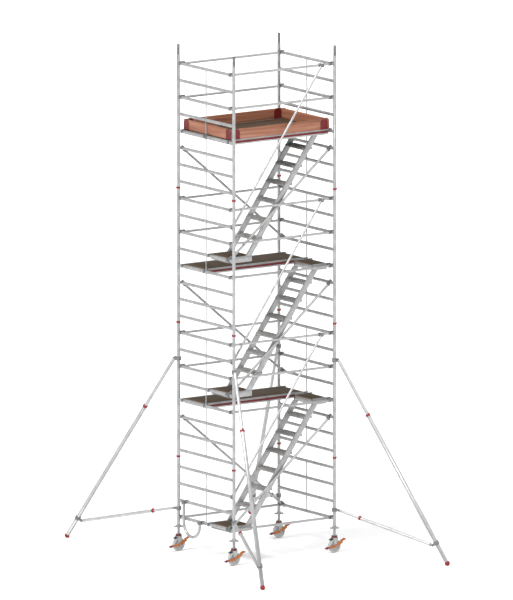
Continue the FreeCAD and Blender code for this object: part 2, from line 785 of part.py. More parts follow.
def stabiliser_leg():
    """Outer brace tube with its collar, the strut's coupler and the rubber foot."""
    mouth = along(brace_start, brace_run, inner_visible)
    foot = Part.makeSphere(foot_radius, foot_point)
    outer = tube(mouth, foot_point, outer_diameter, outer_wall).cut(foot)
    half = leg_coupler_height / 2
    low, high = along(foot_coupler, brace_run, -half), along(foot_coupler, brace_run, half)
    ring = rod(low, high, outer_diameter + 2 * leg_coupler_wall)
    coupler = joined(ring, *cheeks(foot_coupler, strut_end)).cut(rod(mouth, foot_point, outer_diameter))
    floor = block((0, 2 * foot_point.x), (-foot_radius, foot_radius), (-foot_radius, 0))
    return [outer, collar(mouth, brace_run, inner_diameter, outer_diameter), coupler, foot.cut(floor)]


def strut_inner():
    start = along(strut_start, strut_run, tongue_reach)
    bar = tube(start, along(strut_start, strut_run, strut_inner_length), strut_inner_diameter, strut_wall)
    return [joined(tongue(strut_start, strut_run, running_clearance), bar)]


def strut_outer():
    mouth = along(strut_start, strut_run, strut_inner_visible)
    bar = tube(mouth, along(strut_end, strut_run, -tongue_reach), strut_outer_diameter, strut_wall)
    end = tongue(strut_end, strut_run * -1, open_pivot_clearance)
    return [joined(bar, end), collar(mouth, strut_run, strut_inner_diameter, strut_outer_diameter)]


# ---------------------------------------------------------------- the assembly

corners = {"left_back": (-1, 1), "left_front": (-1, -1), "right_back": (1, 1), "right_front": (1, -1)}


def save_end_frames():
    for side, name in ((-1, "left"), (1, "right")):
        save("base_frame_" + name, frame_solids(side, leg_foot_height, rungs_in_base))
        for i, joint in enumerate(joint_heights()):
            save("end_frame_" + name + "_" + str(i + 1), frame_solids(side, joint, rungs_per_frame))
    save("joint_clips", [joint_clip(s, e, z) for s in (-1, 1) for e in (-1, 1) for z in joint_heights()])


def save_rails():
    groups = {"guard_rails": rails(), "ledgers": ledgers(), "diagonal_braces": diagonals()}
    claws = []
    for node, bars in groups.items():
        save(node, [bar for bar, _ in bars])
        claws += [claw for _, pair in bars for claw in pair]
    handrails = [handrail(deck - 5, deck + 4) for deck in deck_rungs]
    save("stair_handrails", [bar for bar, _, _ in handrails])
    claws += [piece for _, claw, clamp in handrails for piece in (claw, clamp)]
    save("rail_claws", claws)


def save_decks():
    front, back = (-deck_inner_y, -deck_outer_y), (deck_inner_y, deck_outer_y)
    top = deck_rungs[-1]
    places = [(back, number, False) for number in deck_rungs] + [(front, top, True)]
    beams, panels, hooks = hatch_fixings(), [], []
    for sides, number, hatch in places:
        beams += deck_beams(*sides, number, hatch)
        panels.append(deck_panel(*sides, number, hatch_start() if hatch else beam_end))
        hooks += deck_hooks(*sides, number)
    landings = []
    for deck in deck_rungs:
        for number, upper in ((deck - rises_per_flight, False), (deck, True)):
            landings += landing_frame(number, upper)
            panels.append(landing_panel(number, upper))
            hooks += landing_hooks(number, 1 if upper else -1)
    save("deck_beams", beams)
    save("deck_panels", panels)
    save("deck_hooks", hooks)
    save("stair_landings", landings)
    save("hatch_lid", [hatch_lid()])


def save_stairs():
    starts = [deck - rises_per_flight for deck in deck_rungs]
    save("stair_stringers", [solid for number in starts for solid in stringers(number)])
    save("stair_treads", [solid for number in starts for solid in treads(number)])


def save_corner(name, x_side, y_side):
    """One castor and one stabiliser at a leg."""
    leg = V(x_side * half_length, y_side * half_width, 0)
    castor = {"jack": [castor_jack()], "nut": [castor_nut()], "fork": castor_fork(),
              "wheel": [castor_wheel()], "brake": [castor_brake()]}
    for part, solids in castor.items():
        save("castor_" + part + "_" + name, [moved(solid, leg) for solid in solids])
    swing = math.degrees(math.atan2(y_side * foot_reach_across, x_side * foot_reach_along))
    stabiliser = {"mount": stabiliser_mount(), "leg": stabiliser_leg(),
                  "strut_inner": strut_inner(), "strut_outer": strut_outer()}
    for part, solids in stabiliser.items():
        save("stabiliser_" + part + "_" + name, [moved(turned(s, UP, swing), leg) for s in solids])


os.makedirs("parts", exist_ok=True)
save_end_frames()
save_rails()
save_decks()
save_stairs()
save("toe_boards", toe_boards())
save("toe_board_brackets", toe_brackets())
save("access_step", [step_bow()] + step_couplers())
for corner, (x_side, y_side) in corners.items():
    save_corner(corner, x_side, y_side)
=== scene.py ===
"""Looks of the mobile tower scaffold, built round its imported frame. Metres, +Z up."""

import math

import bpy
from mathutils import Matrix, Vector


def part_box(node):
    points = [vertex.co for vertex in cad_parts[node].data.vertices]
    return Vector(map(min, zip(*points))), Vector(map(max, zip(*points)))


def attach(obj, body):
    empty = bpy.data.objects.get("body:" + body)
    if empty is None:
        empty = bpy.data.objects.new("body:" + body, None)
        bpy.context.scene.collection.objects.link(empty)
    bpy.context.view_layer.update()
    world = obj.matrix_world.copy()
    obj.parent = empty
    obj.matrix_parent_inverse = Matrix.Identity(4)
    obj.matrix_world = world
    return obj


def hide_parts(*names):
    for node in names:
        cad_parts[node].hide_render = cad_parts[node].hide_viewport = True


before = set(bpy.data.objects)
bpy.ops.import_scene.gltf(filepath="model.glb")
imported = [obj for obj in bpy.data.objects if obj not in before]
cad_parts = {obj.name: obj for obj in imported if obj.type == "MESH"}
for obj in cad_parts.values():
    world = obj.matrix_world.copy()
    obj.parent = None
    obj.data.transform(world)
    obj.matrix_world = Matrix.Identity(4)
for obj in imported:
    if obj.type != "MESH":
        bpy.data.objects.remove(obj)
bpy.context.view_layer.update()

MM = 0.001
CORNERS = ("left_back", "left_front", "right_back", "right_front")
SIDES = ("left", "right")


# ---------------------------------------------------------------- camera and room

VIEW_AZIMUTH = -35             # degrees, from -Y towards +X
VIEW_ELEVATION = 10            # degrees
CAMERA_DISTANCE = 300.0        # far off, for an almost parallel view
VIEW_HEIGHT = 8.813            # metres of the object's height that the picture spans
VIEW_CENTRE_UP = 3.693         # picture's middle above the origin, along the picture's upright
SENSOR = 36.0
# azimuth and elevation in degrees, strength, and the disc's angle in degrees
SUNS = (("key", -80, 48, 2.3, 18), ("fill", -10, 40, 0.9, 40))


def direction(azimuth, elevation):
    """Unit vector from the origin towards an azimuth and an elevation in degrees."""
    a, e = math.radians(azimuth), math.radians(elevation)
    return Vector((math.sin(a) * math.cos(e), -math.cos(a) * math.cos(e), math.sin(e)))


def make_camera():
    back = direction(VIEW_AZIMUTH, VIEW_ELEVATION)
    rotation = back.to_track_quat("Z", "Y")
    data = bpy.data.cameras.new("camera")
    data.sensor_fit = "VERTICAL"
    data.sensor_height = SENSOR
    data.lens = SENSOR * CAMERA_DISTANCE / VIEW_HEIGHT
    data.clip_start = 1.0
    data.clip_end = 3 * CAMERA_DISTANCE
    camera = bpy.data.objects.new("camera", data)
    camera.rotation_euler = rotation.to_euler()
    upright = rotation @ Vector((0, 1, 0))
    camera.location = upright * VIEW_CENTRE_UP + back * CAMERA_DISTANCE
    bpy.context.scene.collection.objects.link(camera)
    bpy.context.scene.camera = camera


def make_sun(name, azimuth, elevation, strength, angle):
    data = bpy.data.lights.new(name, "SUN")
    data.energy = strength
    data.angle = math.radians(angle)
    lamp = bpy.data.objects.new(name, data)
    lamp.rotation_euler = direction(azimuth, elevation).to_track_quat("Z", "Y").to_euler()
    bpy.context.scene.collection.objects.link(lamp)


make_camera()


# ---------------------------------------------------------------- materials

def srgb(text):
    """sRGB hex colour as linear RGBA."""
    values = [int(text[i:i + 2], 16) / 255 for i in (1, 3, 5)]
    return [v / 12.92 if v <= 0.04045 else ((v + 0.055) / 1.055) ** 2.4 for v in values] + [1.0]


def new_material(name, color, roughness, metallic=0.0, **settings):
    """Principled material: returns it, its tree and its shader."""
    material = bpy.data.materials.new(name)
    material.use_nodes = True
    tree = material.node_tree
    shader = tree.nodes["Principled BSDF"]
    shader.inputs["Base Color"].default_value = srgb(color)
    shader.inputs["Roughness"].default_value = roughness
    shader.inputs["Metallic"].default_value = metallic
    for socket, value in settings.items():
        shader.inputs[socket.replace("_", " ")].default_value = value
    return material, tree, shader


def add(tree, kind, settings=(), **links):
    """One node: settings are (attribute or input, value) pairs, links are input=output socket."""
    node = tree.nodes.new(kind)
    for key, value in settings:
        if isinstance(key, str) and hasattr(node, key):
            setattr(node, key, value)
        else:
            node.inputs[key].default_value = value
    for key, socket in links.items():
        number = key.removeprefix("i_")
        tree.links.new(socket,
                       node.inputs[int(number) if number.isdigit() else key.replace("_", " ")])
    return node


def place_scaled(tree, scale):
    """Object coordinates stretched by a scale on each axis, in repeats per metre."""
    place = add(tree, "ShaderNodeTexCoord")
    return add(tree, "ShaderNodeMapping", (("Scale", scale),),
               Vector=place.outputs["Object"]).outputs[0]


def noise(tree, scale, detail=4.0, roughness=0.55):
    """Noise whose blobs repeat about this many times per metre along X, Y and Z."""
    vector = place_scaled(tree, scale)
    return add(tree, "ShaderNodeTexNoise",
               (("Scale", 1.0), ("Detail", detail), ("Roughness", roughness)),
               Vector=vector).outputs["Fac"]


def ramp(tree, fac, stops):
    """Colour ramp from (position, colour) pairs."""
    node = add(tree, "ShaderNodeValToRGB", Fac=fac)
    elements = node.color_ramp.elements
    while len(elements) < len(stops):
        elements.new(0.5)
    for element, (position, color) in zip(elements, stops):
        element.position = position
        element.color = srgb(color)
    return node.outputs["Color"]


def spread(tree, fac, low, high):
    """A 0-1 pattern spread between two values."""
    return add(tree, "ShaderNodeMapRange", (("To Min", low), ("To Max", high)),
               Value=fac).outputs[0]


def bump(tree, shader, height, strength, depth):
    """Relief of a given depth in metres."""
    node = add(tree, "ShaderNodeBump", (("Strength", strength), ("Distance", depth)), Height=height)
    tree.links.new(node.outputs["Normal"], shader.inputs["Normal"])


LENGTHWISE = {"x": 0, "y": 1, "z": 2}


def along_axis(axis, across, lengthwise):
    """Repeats per metre: one value along the named axis and another across it."""
    return tuple(lengthwise if i == LENGTHWISE[axis] else across for i in range(3))


def mill_aluminium(axis, light="#ACACAC", dark="#989898", name="mill_aluminium_"):
    """Extruded aluminium, mill finish: faint die lines along the tube and cloudy handling marks."""
    material, tree, shader = new_material(name + axis, light, 0.4, 0.5)
    clouds = noise(tree, (9, 9, 9), 5.0)
    color = ramp(tree, clouds, ((0.32, dark), (0.62, light)))
    tree.links.new(color, shader.inputs["Base Color"])
    lines = noise(tree, along_axis(axis, 260, 3), 2.0)      # die lines about 4 mm apart
    rough = add(tree, "ShaderNodeMath", (("operation", "MULTIPLY_ADD"), (1, 0.16), (2, 0.24)),
                i_0=lines)
    tree.links.new(rough.outputs[0], shader.inputs["Roughness"])
    bump(tree, shader, lines, 0.25, 0.3 * MM)
    return material


def brushed_tread():
    """Ribbed tread profile, dulled by boots, in drifting greys with a fine grit."""
    material, tree, shader = new_material("ribbed_aluminium_worn", "#A09E9C", 0.5, 0.2)
    wear = noise(tree, (16, 10, 16), 5.0)
    tree.links.new(ramp(tree, wear, ((0.35, "#8C8A89"), (0.65, "#ACAAA8"))),
                   shader.inputs["Base Color"])
    grit = noise(tree, (420, 420, 420), 2.0)
    tree.links.new(spread(tree, grit, 0.42, 0.62), shader.inputs["Roughness"])
    bump(tree, shader, grit, 0.3, 0.4 * MM)
    return material


def die_casting():
    """Die-cast claw, dark grey and slightly sandy, with rubbed patches."""
    material, tree, shader = new_material("die_cast_grey", "#797B7D", 0.5, 0.35)
    patches = noise(tree, (30, 30, 30), 4.0)
    tree.links.new(ramp(tree, patches, ((0.38, "#66686A"), (0.7, "#8A8C8E"))),
                   shader.inputs["Base Color"])
    sand = noise(tree, (600, 600, 600), 2.0)                # grains about 1.5 mm
    tree.links.new(spread(tree, sand, 0.42, 0.6), shader.inputs["Roughness"])
    bump(tree, shader, sand, 0.35, 0.3 * MM)
    return material


def speckled(name, light, dark, low, high, grain, metallic=0.0, depth=0.15, **settings):
    """Moulded or coated surface: slow colour drift, and a fine grain in gloss and relief."""
    material, tree, shader = new_material(name, light, low, metallic, **settings)
    drift = noise(tree, (14, 14, 14), 4.0)
    tree.links.new(ramp(tree, drift, ((0.35, dark), (0.65, light))), shader.inputs["Base Color"])
    fine = noise(tree, (grain, grain, grain), 2.0)
    tree.links.new(spread(tree, fine, low, high), shader.inputs["Roughness"])
    bump(tree, shader, fine, 0.3, depth * MM)
    return material


def galvanised_steel():
    """Hot-dip galvanised pressing: crystal spangle about 8 mm across."""
    material, tree, shader = new_material("galvanised_steel", "#A8AAAB", 0.42, 0.7)
    cells = add(tree, "ShaderNodeTexVoronoi", (("Scale", 1.0),),
                Vector=place_scaled(tree, (125, 125, 125)))
    grey = add(tree, "ShaderNodeRGBToBW", Color=cells.outputs["Color"]).outputs[0]
    tree.links.new(ramp(tree, grey, ((0.2, "#8F9192"), (0.8, "#BDBFC0"))),
                   shader.inputs["Base Color"])
    tree.links.new(spread(tree, grey, 0.34, 0.52), shader.inputs["Roughness"])
    return material


def film_faced_plywood():
    """Phenolic film on plywood: a wire-mesh print on the walking side, bare plies at the edges."""
    material, tree, shader = new_material("film_faced_plywood", "#3F2D14", 0.7)
    clouds = noise(tree, (7, 7, 7), 5.0)
    film = ramp(tree, clouds, ((0.3, "#33250F"), (0.55, "#3F2D14"), (0.8, "#4D3A1F")))
    plies = add(tree, "ShaderNodeTexWave",
                (("bands_direction", "Z"), ("Scale", 1.0), ("Distortion", 0.4)),
                Vector=place_scaled(tree, (40, 40, 60)))
    edge = ramp(tree, plies.outputs["Fac"], ((0.35, "#5A4029"), (0.6, "#77583A")))
    facing = add(tree, "ShaderNodeSeparateXYZ",
                 Vector=add(tree, "ShaderNodeNewGeometry").outputs["Normal"]).outputs["Z"]
    flat = add(tree, "ShaderNodeMath", (("operation", "ABSOLUTE"),), i_0=facing).outputs[0]
    mask = add(tree, "ShaderNodeMath", (("operation", "GREATER_THAN"), (1, 0.7)),
               i_0=flat).outputs[0]
    mix = add(tree, "ShaderNodeMix", (("data_type", "RGBA"),))
    tree.links.new(mask, mix.inputs[0])
    tree.links.new(edge, mix.inputs[6])
    tree.links.new(film, mix.inputs[7])
    tree.links.new(mix.outputs[2], shader.inputs["Base Color"])
    # the print is drawn at 9 mm, coarser than real
    mesh = add(tree, "ShaderNodeTexVoronoi", (("feature", "DISTANCE_TO_EDGE"), ("Scale", 1.0)),
               Vector=place_scaled(tree, (110, 110, 110)))
    relief = add(tree, "ShaderNodeMath", (("operation", "MINIMUM"), (1, 0.25)),
                 i_0=mesh.outputs["Distance"])
    tree.links.new(spread(tree, clouds, 0.6, 0.8), shader.inputs["Roughness"])
    bump(tree, shader, relief.outputs[0], 0.5, 0.8 * MM)
    return material


def toe_board_wood(axis):
    """Clear-sealed spruce board: long grain every few millimetres, with darker late wood."""
    material, tree, shader = new_material("sealed_spruce_" + axis, "#A86B4C", 0.5)
    vector = place_scaled(tree, along_axis(axis, 26, 1.2))
    grain = add(tree, "ShaderNodeTexNoise", (("Scale", 1.0), ("Detail", 6.0), ("Distortion", 0.6)),
                Vector=vector).outputs["Fac"]
    color = ramp(tree, grain, ((0.32, "#83513A"), (0.5, "#9A6349"), (0.7, "#AC7960")))
    tree.links.new(color, shader.inputs["Base Color"])
    fibre = noise(tree, along_axis(axis, 520, 12), 2.0)     # fibres about 2 mm apart
    tree.links.new(spread(tree, fibre, 0.42, 0.6), shader.inputs["Roughness"])
    bump(tree, shader, fibre, 0.35, 0.25 * MM)
    return material


ALUMINIUM = {axis: mill_aluminium(axis) for axis in "xyz"}
# lighter copy of the same mill aluminium: a painted highlight for the guard rails and stabiliser
# tubes, which stand in full light
SUNLIT_ALUMINIUM = {axis: mill_aluminium(axis, "#B8B8B8", "#A8A8A8", "painted_highlight_aluminium_") for axis in "xyz"}
TREAD = brushed_tread()
CASTING = die_casting()
SPIGOT = speckled("drawn_aluminium_dull", "#8C8C8A", "#6F6F6D", 0.38, 0.52, 500, 0.6)
CLIP_RED = speckled("glass_filled_nylon_red", "#8E1519", "#7A1013", 0.4, 0.52, 700)
BRACKET_RED = speckled("powder_coat_red", "#6E0A0F", "#5C080C", 0.45, 0.58, 450, 0.0, 0.1)
MAROON = speckled("powder_coat_maroon", "#6E1A1C", "#571315", 0.34, 0.46, 450)
ZINC = speckled("zinc_plated_steel", "#9FA1A2", "#86888A", 0.32, 0.46, 600, 0.6)
GALVANISED = galvanised_steel()
WHEEL = speckled("cast_polyamide_grey", "#B4B4B2", "#A2A2A0", 0.42, 0.55, 500)
PEDAL = speckled("powder_coat_orange", "#B5651D", "#9E5413", 0.38, 0.5, 450)
LEVER = speckled("black_nylon", "#232324", "#191919", 0.4, 0.55, 600)
RUBBER_RED = speckled("natural_rubber_red", "#8E181B", "#731014", 0.6, 0.75, 700, 0.0, 0.3)
PLYWOOD = film_faced_plywood()
WOOD = {axis: toe_board_wood(axis) for axis in "xy"}


# ---------------------------------------------------------------- modelling helpers

def deselect():
    if bpy.context.mode != "OBJECT":
        bpy.ops.object.mode_set(mode="OBJECT")
    bpy.ops.object.select_all(action="DESELECT")


def take(piece):
    """Make one piece the only selected and active one."""
    deselect()
    piece.select_set(True)
    bpy.context.view_layer.objects.active = piece


def edit(piece, kind="FACE"):
    """Edit mode with nothing selected."""
    take(piece)
    bpy.ops.object.mode_set(mode="EDIT")
    bpy.ops.mesh.select_mode(type=kind)
    bpy.ops.mesh.select_all(action="DESELECT")


def done():
    bpy.ops.object.mode_set(mode="OBJECT")


def select_faces(piece, test):
    """Select the faces whose centre and normal pass a test."""
    done()
    for face in piece.data.polygons:
        face.select = test(face.center, face.normal)
    bpy.ops.object.mode_set(mode="EDIT")


def settle(piece):
    """Bake the piece's place into its mesh."""
    take(piece)
    bpy.ops.object.transform_apply(location=True, rotation=True, scale=True)
    return piece


def extent(piece):
    """Lowest and highest corner of a piece that is settled."""
    corners = [Vector(c) for c in piece.bound_box]
    return (Vector([min(c[i] for c in corners) for i in range(3)]),
            Vector([max(c[i] for c in corners) for i in range(3)]))


def middle(piece):
    low, high = extent(piece)
    return (low + high) / 2


def size(piece):
    low, high = extent(piece)
    return high - low


def modify(piece, kind, **settings):
    """Add one modifier and apply it."""
    take(piece)
    modifier = piece.modifiers.new(kind.lower(), kind)
    for key, value in settings.items():
        setattr(modifier, key, value)
    bpy.ops.object.modifier_apply(modifier=modifier.name)
    return piece


def bevel(piece, width, segments=2, angle=35):
    return modify(piece, "BEVEL", width=width, segments=segments, limit_method="ANGLE",
                  angle_limit=math.radians(angle), use_clamp_overlap=True)


def smooth(piece, angle=35):
    take(piece)
    bpy.ops.object.shade_smooth_by_angle(angle=math.radians(angle))
    return piece


def copied(template, matrix):
    """Copy with its own mesh, moved by a matrix."""
    piece = template.copy()
    piece.data = template.data.copy()
    piece.data.transform(matrix)
    bpy.context.scene.collection.objects.link(piece)
    return piece


def joined(pieces, name):
    """Several pieces as one."""
    deselect()
    for piece in pieces:
        piece.select_set(True)
    bpy.context.view_layer.objects.active = pieces[0]
    if len(pieces) > 1:
        bpy.ops.object.join()
    pieces[0].name = name
    return pieces[0]


def finished(pieces, name, body, material, slot, nodes=(), angle=35):
    """Join, smooth, give its finish, and hang on its body."""
    piece = smooth(joined(pieces, name), angle)
    piece.data.materials.clear()
    piece.data.materials.append(material)
    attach(piece, body)
    if nodes:
        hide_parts(*nodes)
    return piece


def discard(pieces):
    for piece in pieces:
        bpy.data.objects.remove(piece)


def solids_of(node):
    """Copies of a CAD node's separate solids, welded, from the lowest up."""
    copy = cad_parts[node].copy()
    copy.data = copy.data.copy()
    copy.parent = None
    for key in [k for k in copy.keys() if k.startswith("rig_")]:
        del copy[key]
    bpy.context.scene.collection.objects.link(copy)
    copy.data.materials.clear()
    take(copy)
    bpy.ops.object.mode_set(mode="EDIT")
    bpy.ops.mesh.select_all(action="SELECT")
    bpy.ops.mesh.remove_doubles(threshold=0.02 * MM)
    bpy.ops.mesh.separate(type="LOOSE")
    bpy.ops.mesh.select_all(action="SELECT")
    done()
    pieces = list(bpy.context.selected_objects)
    for piece in pieces:
        take(piece)
        bpy.ops.object.mode_set(mode="EDIT")
        bpy.ops.mesh.select_all(action="SELECT")
        bpy.ops.mesh.dissolve_limited(angle_limit=math.radians(1))
        done()
    return sorted(pieces, key=lambda piece: [round(middle(piece)[i], 3) for i in (2, 0, 1)])


def split_off(piece, test):
    """The faces that pass a test of (centre, normal), as a piece of their own."""
    edit(piece)
    select_faces(piece, test)
    bpy.ops.mesh.separate(type="SELECTED")
    done()
    return next(o for o in bpy.context.selected_objects if o is not piece)


def turned_profile(outline, steps, name):
    """Closed solid spun about Z from (radius, height) points that start and end on the axis."""
    mesh = bpy.data.meshes.new(name)
    edges = [(i, i + 1) for i in range(len(outline) - 1)]
    mesh.from_pydata([(r, 0, z) for r, z in outline], edges, [])
    piece = bpy.data.objects.new(name, mesh)
    bpy.context.scene.collection.objects.link(piece)
    take(piece)
    bpy.ops.object.mode_set(mode="EDIT")
    bpy.ops.mesh.select_all(action="SELECT")
    bpy.ops.mesh.spin(steps=steps, angle=2 * math.pi, center=(0, 0, 0), axis=(0, 0, 1))
    bpy.ops.mesh.select_all(action="SELECT")
    bpy.ops.mesh.remove_doubles(threshold=0.01 * MM)
    bpy.ops.mesh.normals_make_consistent(inside=False)
    done()
    return piece


def hexagon_head(radius, height, name):
    """Bolt head with rounded corners, standing on Z = 0."""
    deselect()
    bpy.ops.mesh.primitive_cylinder_add(vertices=6, radius=radius, depth=height,
                                        location=(0, 0, height / 2))
    piece = settle(bpy.context.object)
    piece.name = name
    edit(piece)
    select_faces(piece, lambda c, n: n.z > 0.9)
    bpy.ops.mesh.inset(thickness=radius * 0.18)
    bpy.ops.mesh.extrude_region_move(TRANSFORM_OT_translate={"value": (0, 0, height * 0.15)})
    done()
    return bevel(piece, radius * 0.07)


def scatter(template, places, name):
    """Copies of one template at a list of matrices, joined; the template stays."""
    return joined([copied(template, place) for place in places], name)


def at(point, axis="Z", turn=0.0):
    """Matrix that stands a template's Z along an axis at a point."""
    stand = {"Z": Matrix.Identity(4), "-Z": Matrix.Rotation(math.pi, 4, "X"),
             "X": Matrix.Rotation(math.pi / 2, 4, "Y"), "-X": Matrix.Rotation(-math.pi / 2, 4, "Y"),
             "Y": Matrix.Rotation(-math.pi / 2, 4, "X"),
             "-Y": Matrix.Rotation(math.pi / 2, 4, "X")}[axis]
    return Matrix.Translation(point) @ Matrix.Rotation(turn, 4, "Z") @ stand


def rivet_head(radius=4 * MM, height=1.8 * MM):
    """Low domed head, standing on Z = 0."""
    deselect()
    bpy.ops.mesh.primitive_cylinder_add(vertices=12, radius=radius, depth=height,
                                        location=(0, 0, height / 2))
    piece = settle(bpy.context.object)
    piece.name = "rivet_template"
    edit(piece)
    select_faces(piece, lambda c, n: n.z > 0.9)
    bpy.ops.mesh.inset(thickness=radius * 0.3, depth=height * 0.3)
    done()
    return piece


def slab(name, dims, width):
    """Rounded block about the origin."""
    deselect()
    bpy.ops.mesh.primitive_cube_add(size=1, location=(0, 0, 0))
    piece = bpy.context.object
    piece.name = name
    piece.scale = dims
    return bevel(settle(piece), width, 3)


RIVET = rivet_head()


# ---------------------------------------------------------------- end frames

RUNG_RADIUS = 22.5 * MM
FLUTES = 16
FLUTE_SCALE = 0.93             # valley radius over crest radius
BEAD_RADIUS = 3 * MM
BEAD_INSET = 5 * MM            # weld bead's middle from the rung's end
RUNG_LONGER = 12 * MM          # than the clear gap between the legs


def fluted_rung(length):
    """Ribbed tube along Y about the origin, with a weld bead at each end."""
    deselect()
    bpy.ops.mesh.primitive_cylinder_add(vertices=4 * FLUTES, radius=RUNG_RADIUS, depth=length)
    piece = bpy.context.object
    edit(piece, "VERT")
    done()
    for vertex in piece.data.vertices:
        place = (math.atan2(vertex.co.y, vertex.co.x) / (2 * math.pi) * FLUTES + 1 / 8) % 1
        vertex.select = place > 0.5
    bpy.ops.object.mode_set(mode="EDIT")
    bpy.ops.transform.resize(value=(FLUTE_SCALE, FLUTE_SCALE, 1), center_override=(0, 0, 0))
    done()
    parts = [piece]
    for end in (-1, 1):
        deselect()
        place = (0, 0, end * (length / 2 - BEAD_INSET))
        bpy.ops.mesh.primitive_torus_add(major_radius=RUNG_RADIUS, minor_radius=BEAD_RADIUS,
                                         major_segments=28, minor_segments=8, location=place)
        parts.append(settle(bpy.context.object))
    piece = joined(parts, "rung_template")
    piece.data.transform(Matrix.Rotation(math.pi / 2, 4, "X"))
    return piece


def end_frame_kind(dims):
    """What a solid of an end frame is, told by its size."""
    if dims.y > 1.0:
        return "rungs"
    if dims.z > 0.9:
        return "legs"
    return "spigots" if dims.x > 0.03 else "ties"


def end_frame(node, rung):
    """Legs, spigots, rungs and tie rods of one end frame."""
    groups = {"legs": [], "spigots": [], "rungs": [], "ties": []}
    for part in solids_of(node):
        groups[end_frame_kind(size(part))].append(part)
    places = [Matrix.Translation(middle(part)) for part in groups["rungs"]]
    discard(groups["rungs"])
    rungs = scatter(rung, places, "rungs")
    finished([rungs], node + "_rungs", "tower", ALUMINIUM["y"], "aluminium_tube", [node])
    finished(groups["legs"], node + "_legs", "tower", ALUMINIUM["z"], "aluminium_tube", [node])
    finished(groups["ties"], node + "_tie_rods", "tower", ALUMINIUM["z"], "aluminium_tube", [node])
    bevel(joined(groups["spigots"], node + "_spigots"), 1.2 * MM)
    finished(groups["spigots"][:1], node + "_spigots", "tower", SPIGOT, "aluminium_tube", [node])


def end_frames():
    low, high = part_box("base_frame_left")
    leg_diameter = high.x - low.x
    rung = fluted_rung(high.y - low.y - 2 * leg_diameter + RUNG_LONGER)
    for side in SIDES:
        end_frame("base_frame_" + side, rung)
        for i in (1, 2, 3):
            end_frame("end_frame_" + side + "_" + str(i), rung)
    discard([rung])


def joint_clips():
    clips = solids_of("joint_clips")
    pins = [at(middle(clip) + Vector((0, -size(clip).y / 2, 0)), "-Y") for clip in clips]
    heads = scatter(RIVET, pins, "clip_pins")
    bevel(joined(clips, "joint_clips_red"), 1.5 * MM)
    finished([clips[0], heads], "joint_clips_red", "tower", CLIP_RED, "red_clip", ["joint_clips"])


# ---------------------------------------------------------------- rails, claws, step

CLAW_RIVET_INSET = 14 * MM     # from the claw's middle, towards the tower's
STEP_BOLT_RADIUS, STEP_BOLT_HEIGHT = 9 * MM, 7 * MM
STEP_BOLT_SPREAD = 15 * MM     # above and below the coupler's middle


def paint(node, material):
    """Give a CAD node, whose shape stays, its finish."""
    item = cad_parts[node]
    if not item.material_slots:
        item.data.materials.append(material)
    item.material_slots[0].material = material


def rails():
    # guard rails get the lighter aluminium copy, a painted highlight
    paint("guard_rails", SUNLIT_ALUMINIUM["x"])
    for node in ("ledgers", "stair_handrails", "diagonal_braces"):
        paint(node, ALUMINIUM["x"])


def claws(node, name):
    """Cast claws with softened edges and a rivet through each cheek."""
    parts = solids_of(node)
    places = []
    for part in parts:
        low, high = extent(part)
        centre = (low + high) / 2
        inward = -1 if centre.x > 0 else 1
        spot = centre + Vector((inward * CLAW_RIVET_INSET, 0, 0))
        places += [at(Vector((spot.x, low.y, spot.z)), "-Y"),
                   at(Vector((spot.x, high.y, spot.z)), "Y")]
    heads = scatter(RIVET, places, "claw_rivets")
    bevel(joined(parts, name), 2.2 * MM, 2, 30)
    finished([parts[0], heads], name, "tower", CASTING, "grey_casting", [node])


def access_step():
    parts = sorted(solids_of("access_step"), key=lambda p: -size(p).z)
    bow, blocks = parts[0], parts[1:]
    bolt = hexagon_head(STEP_BOLT_RADIUS, STEP_BOLT_HEIGHT, "coupler_bolt")
    places = []
    for b in blocks:
        for side in (-1, 1):
            z = middle(b).z + side * STEP_BOLT_SPREAD
            places.append(at(Vector((extent(b)[0].x, middle(b).y, z)), "-X"))
    bolts = scatter(bolt, places, "step_bolts")
    discard([bolt])
    finished([bow], "access_step_bow", "tower", ALUMINIUM["z"], "aluminium_tube", ["access_step"],
             50)
    bevel(joined(blocks, "access_step_couplers"), 2.5 * MM)
    finished(blocks[:1], "access_step_couplers", "tower", CASTING, "grey_casting", ["access_step"])
    finished([bolts], "access_step_bolts", "tower", ZINC, "plated_steel", ["access_step"])


# ---------------------------------------------------------------- decks

STRIPE_HEIGHT = 34 * MM
STRIPE_THICKNESS = 0.8 * MM
STRIPE_SHORTER = 8 * MM        # than its beam
FIXING_SPACING = 0.29
FIXING_INSET = 14 * MM         # from the sheet's long edge
HINGE_PLACES = (0.17, 0.83)    # shares of the lid's length
KNUCKLE_INSET = 8 * MM         # knuckle line from the lid's back edge
LEAF = (58 * MM, 62 * MM, 2 * MM)
LEAF_CENTRE = 52 * MM          # from the knuckle line
LEAF_SCREWS = [(x * MM, y * MM) for x in (-18, 18) for y in (36, 66)]
RING_RADIUS, RING_WIRE = 34 * MM, 4 * MM
RING_INSET = 60 * MM           # from the lid's front edge
KEEPER = (16 * MM, 30 * MM, 11 * MM)


def deck_beams():
    """Beams with rolled corners, and a red band along both faces of each side beam."""
    beams = solids_of("deck_beams")
    long_beams = [b for b in beams if size(b).x > 1.5]
    bands = []
    for beam in long_beams:
        low, high = extent(beam)
        for y, out in ((low.y, -1), (high.y, 1)):
            dims = (high.x - low.x - STRIPE_SHORTER, STRIPE_THICKNESS, STRIPE_HEIGHT)
            band = slab("band", dims, 0.3 * MM)
            band.data.transform(Matrix.Translation((0, y + out * STRIPE_THICKNESS / 2,
                                                    (low.z + high.z) / 2)))
            bands.append(band)
    finished(bands, "deck_beam_bands", "tower", BRACKET_RED, "red_bracket")
    bevel(joined(beams, "deck_beams_rolled"), 2 * MM)
    finished(beams[:1], "deck_beams_rolled", "tower", ALUMINIUM["x"], "aluminium_section",
             ["deck_beams"])


